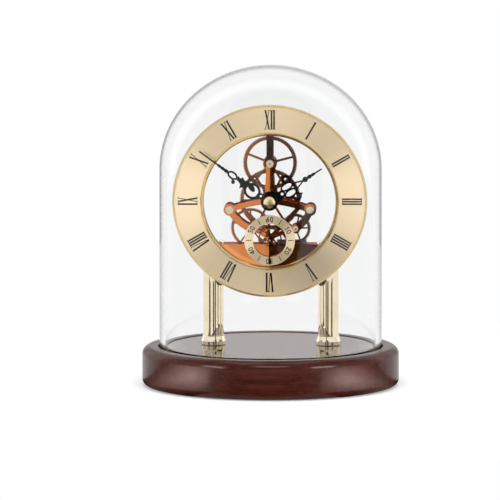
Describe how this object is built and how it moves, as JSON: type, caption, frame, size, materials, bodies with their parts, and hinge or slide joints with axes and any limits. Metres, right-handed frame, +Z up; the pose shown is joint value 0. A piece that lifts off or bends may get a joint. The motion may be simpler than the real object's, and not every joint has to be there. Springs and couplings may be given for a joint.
{
  "type": "dome clock",
  "caption": "Skeleton clock on a round wooden base under a glass dome, with a ring dial on two pillars, an open wheel train, ornate hands and a small seconds ring.",
  "frame": {"origin": "middle of the base's underside, on the surface the clock stands on", "axes": "+Z up, the dial looks towards -Y, +X to the reader's right"},
  "size_m": [0.15, 0.15, 0.188],
  "materials": {
    "mahogany": "gloss lacquer",
    "felt": "matte",
    "plate_metal": "polished",
    "glass": "clear",
    "polished_brass": "polished",
    "dial_metal": "fine turned",
    "gilt": "polished",
    "black_enamel": "satin",
    "copper_plate": "polished, copper coloured",
    "wheel_metal": "satin, brown copper coloured",
    "steel": "brushed",
    "case_plastic": "matte",
    "cell_can": "gloss",
    "board_resin": "matte",
    "chip_resin": "gloss",
    "soft_iron": "bare",
    "coil_wire": "enamelled copper wire",
    "magnet": "bare"
  },
  "bodies": {
    "stand": {"wood_base": "mahogany", "base_felt": "felt", "top_plate": "plate_metal", "pillar_left": "polished_brass", "pillar_right": "polished_brass", "pillar_collars": "polished_brass", "pillar_washers": "steel", "pillar_screws": "steel", "dial_ring": "dial_metal", "outer_rim": "gilt", "inner_bezel": "gilt", "hour_numerals": "black_enamel", "seconds_ring": "dial_metal", "seconds_numerals": "black_enamel", "seconds_ring_posts": "polished_brass", "carrier_ring": "black_enamel", "carrier_screws": "polished_brass", "dial_posts": "polished_brass", "front_bridge": "copper_plate", "rear_bridge": "copper_plate", "bridge_posts": "polished_brass", "bridge_screws": "polished_brass", "pivot_bushes": "polished_brass", "train_studs": "steel", "case_cover": "copper_plate", "cover_stud": "polished_brass", "cover_screws": "steel", "case_screws": "steel", "motor_case": "case_plastic", "battery": "cell_can", "contact_plate": "steel", "contact_spring": "steel", "circuit_board": "board_resin", "driver_chip": "chip_resin", "quartz_crystal": "steel", "stator": "soft_iron", "coil_core": "soft_iron", "coil": "coil_wire"},
    "dome": {"glass_dome": "glass"},
    "battery_door": {"battery_cover": "case_plastic"},
    "minute": {"centre_wheel": "wheel_metal", "centre_arbor": "steel", "cannon_pinion": "polished_brass", "minute_hand": "black_enamel", "hand_nut": "polished_brass", "setting_knob": "case_plastic"},
    "hour": {"hour_wheel": "wheel_metal", "hour_hand": "black_enamel"},
    "motion": {"motion_wheel": "wheel_metal"},
    "upper": {"upper_wheel": "wheel_metal", "upper_arbor": "steel"},
    "third": {"third_pinion": "steel", "third_wheel": "wheel_metal"},
    "seconds": {"seconds_wheel": "wheel_metal", "seconds_arbor": "steel", "seconds_hand": "black_enamel"},
    "intermediate": {"intermediate_wheel": "wheel_metal", "intermediate_arbor": "steel"},
    "rotor": {"rotor_magnet": "magnet", "rotor_arbor": "steel"}
  },
  "joints": [
    {"name": "minute_turn", "type": "hinge", "parent": "stand", "child": "minute", "pos_m": [0, -0.012, 0.11], "axis": [0, 1, 0], "continuous": true},
    {"name": "hour_turn", "type": "hinge", "parent": "stand", "child": "hour", "pos_m": [0, -0.012, 0.11], "axis": [0, 1, 0], "continuous": true},
    {"name": "motion_turn", "type": "hinge", "parent": "stand", "child": "motion", "pos_m": [0, -0.0095, 0.11576], "axis": [0, 1, 0], "continuous": true},
    {"name": "upper_turn", "type": "hinge", "parent": "stand", "child": "upper", "pos_m": [0, -0.006, 0.13164], "axis": [0, 1, 0], "continuous": true},
    {"name": "third_turn", "type": "hinge", "parent": "stand", "child": "third", "pos_m": [-0.01129, -0.0055, 0.09356], "axis": [0, 1, 0], "continuous": true},
    {"name": "seconds_turn", "type": "hinge", "parent": "stand", "child": "seconds", "pos_m": [0, -0.01, 0.0872], "axis": [0, 1, 0], "continuous": true},
    {"name": "intermediate_turn", "type": "hinge", "parent": "stand", "child": "intermediate", "pos_m": [0.01495, -0.008, 0.09345], "axis": [0, 1, 0], "continuous": true},
    {"name": "rotor_turn", "type": "hinge", "parent": "stand", "child": "rotor", "pos_m": [0.01495, -0.007, 0.0833], "axis": [0, 1, 0], "continuous": true},
    {"name": "dome_lift", "type": "slide", "parent": "stand", "child": "dome", "axis": [0, 0, 1], "range_m": [0, 0.17]},
    {"name": "battery_cover_pull", "type": "slide", "parent": "stand", "child": "battery_door", "axis": [0, 1, 0], "range_m": [0, 0.025]}
  ],
  "couplings": [
    {"joint": "hour_turn", "follows": "minute_turn", "ratio": 0.083333},
    {"joint": "motion_turn", "follows": "minute_turn", "ratio": -0.33333},
    {"joint": "upper_turn", "follows": "minute_turn", "ratio": -4.3548},
    {"joint": "third_turn", "follows": "minute_turn", "ratio": -7.5},
    {"joint": "seconds_turn", "follows": "minute_turn", "ratio": 60},
    {"joint": "intermediate_turn", "follows": "minute_turn", "ratio": -300},
    {"joint": "rotor_turn", "follows": "minute_turn", "ratio": 1800}
  ]
}
